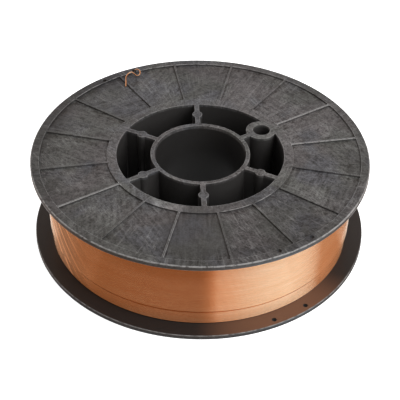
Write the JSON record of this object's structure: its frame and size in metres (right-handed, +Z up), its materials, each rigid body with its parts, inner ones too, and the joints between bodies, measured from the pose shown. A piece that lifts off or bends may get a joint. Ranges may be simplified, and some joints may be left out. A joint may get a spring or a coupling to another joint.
{
  "type": "spool of welding wire",
  "caption": "Round plastic spool lying on its flange, with a webbed hub, a drive hole and copper-coated welding wire wound between the flanges, its end tied through a rim hole.",
  "frame": {"origin": "centre of the spool's lower face, on the axis of its bore", "axes": "+Z up along the bore's axis, +X from the axis through the drive hole"},
  "size_m": [0.2, 0.2, 0.0577],
  "materials": {
    "spool_plastic": "black moulded plastic, scuffed and dusty on the outer faces, smoother between the flanges",
    "copper_wire": "drawn steel wire with a thin bright copper coat"
  },
  "bodies": {
    "root": {"spool": "spool_plastic", "wire_pack": "copper_wire", "wire_end": "copper_wire"}
  },
  "joints": []
}
